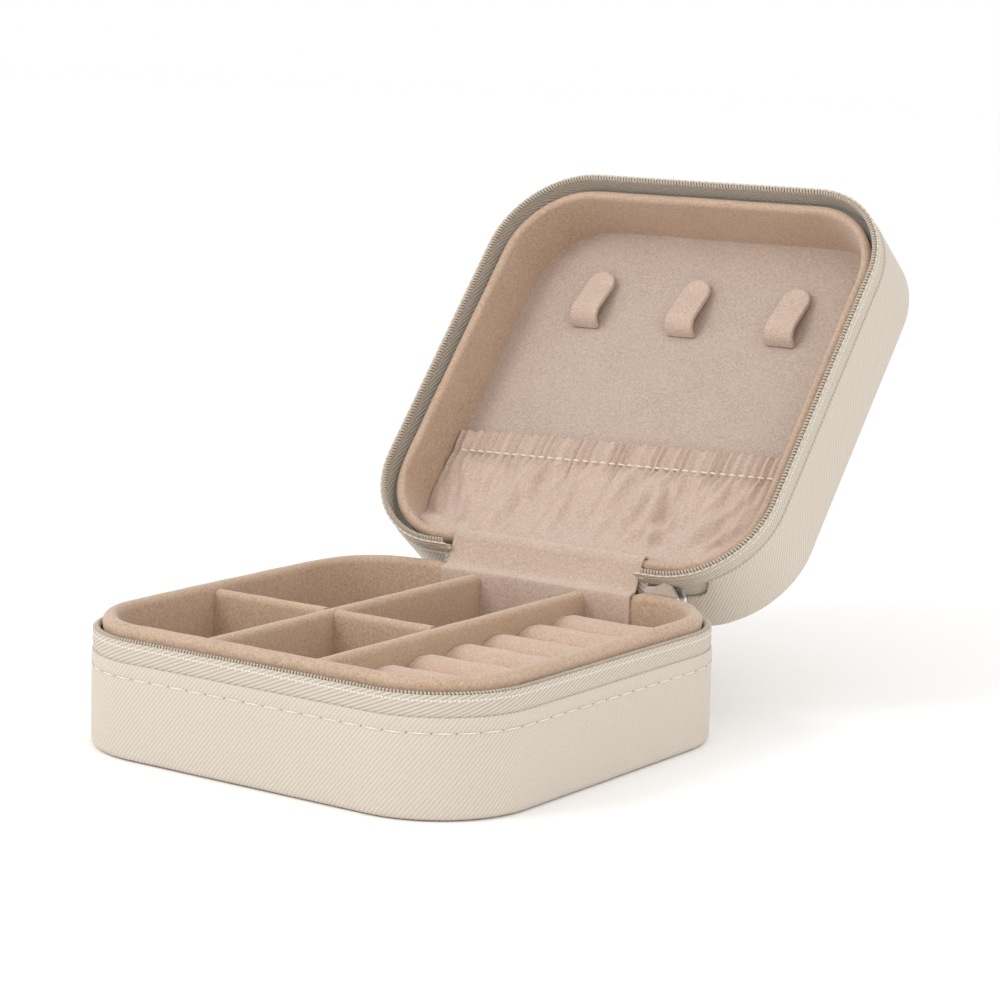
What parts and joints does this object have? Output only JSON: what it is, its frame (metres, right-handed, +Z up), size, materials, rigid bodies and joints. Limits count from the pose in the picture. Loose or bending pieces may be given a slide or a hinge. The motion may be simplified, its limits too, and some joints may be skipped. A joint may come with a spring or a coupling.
{
  "type": "jewelry box",
  "caption": "Small rounded-square zipped travel jewelry box with a hinged lid, divided velvet base, ring rolls, necklace straps and a gathered lid pocket.",
  "frame": {"origin": "centre of the flat underside", "axes": "+Z up, +X to the right along the hinge line, +Y towards the hinge at the back"},
  "size_m": [0.1, 0.1743, 0.107],
  "materials": {
    "shell_leather": "cream crosshatch-embossed artificial leather",
    "velvet": "short-pile beige-pink velvet over foam or board",
    "zip_tape": "cream woven zip tape",
    "zip_coil": "cream nylon coil with sewn edge",
    "polished_metal": "bright plated zinc",
    "greyboard": "plain greyboard",
    "foam": "soft white foam",
    "elastic": "flat woven elastic"
  },
  "bodies": {
    "base": {"base_bottom_board": "greyboard", "base_bottom_panel": "shell_leather", "base_floor_lining": "velvet", "base_side_band": "shell_leather", "base_wall_board": "greyboard", "base_wall_lining": "velvet", "base_zip_coil": "zip_coil", "base_zip_tape": "zip_tape", "divider_cross_left": "velvet", "divider_cross_left_board": "greyboard", "divider_cross_middle": "velvet", "divider_cross_middle_board": "greyboard", "divider_left": "velvet", "divider_left_board": "greyboard", "divider_right": "velvet", "divider_right_board": "greyboard", "hinge_strip_lower": "shell_leather", "ring_roll_1": "velvet", "ring_roll_2": "velvet", "ring_roll_3": "velvet", "ring_roll_4": "velvet", "ring_roll_5": "velvet", "ring_roll_6": "velvet", "ring_roll_7": "velvet", "ring_roll_card": "greyboard", "tongue_lower": "velvet", "zip_stops": "polished_metal"},
    "lid": {"hinge_strip_upper": "shell_leather", "lid_panel": "velvet", "lid_side_band": "shell_leather", "lid_top_board": "greyboard", "lid_top_foam": "foam", "lid_top_panel": "shell_leather", "lid_wall_board": "greyboard", "lid_wall_lining": "velvet", "lid_zip_coil": "zip_coil", "lid_zip_tape": "zip_tape", "pocket_elastic": "elastic", "pocket_panel": "velvet", "snap_stud_left": "polished_metal", "snap_stud_middle": "polished_metal", "snap_stud_right": "polished_metal", "tongue_upper": "velvet"},
    "slider": {"slider_body": "polished_metal"},
    "pull": {"slider_pull": "polished_metal"},
    "strap_left": {"strap_left": "velvet", "snap_socket_left": "polished_metal"},
    "strap_middle": {"strap_middle": "velvet", "snap_socket_middle": "polished_metal"},
    "strap_right": {"strap_right": "velvet", "snap_socket_right": "polished_metal"}
  },
  "joints": [
    {"name": "lid_hinge", "type": "hinge", "parent": "base", "child": "lid", "pos_m": [0, 0.0489, 0.0283], "axis": [1, 0, 0], "range_deg": [0, 129.3]},
    {"name": "strap_left_hinge", "type": "hinge", "parent": "lid", "child": "strap_left", "pos_m": [-0.0255, 0.09939, 0.07278], "axis": [1, 0, 0], "range_deg": [0, 90]},
    {"name": "strap_middle_hinge", "type": "hinge", "parent": "lid", "child": "strap_middle", "pos_m": [0, 0.09939, 0.07278], "axis": [1, 0, 0], "range_deg": [0, 90]},
    {"name": "strap_right_hinge", "type": "hinge", "parent": "lid", "child": "strap_right", "pos_m": [0.0255, 0.09939, 0.07278], "axis": [1, 0, 0], "range_deg": [0, 90]},
    {"name": "slider_travel", "type": "hinge", "parent": "base", "child": "slider", "pos_m": [0.0287, 0.0287, 0.0239], "axis": [0, 0, -1], "range_deg": [0, 30]},
    {"name": "pull_swing", "type": "hinge", "parent": "slider", "child": "pull", "pos_m": [0.03002, 0.05217, 0.0219], "axis": [0.9973, -0.0732, 0], "range_deg": [0, 35]}
  ]
}
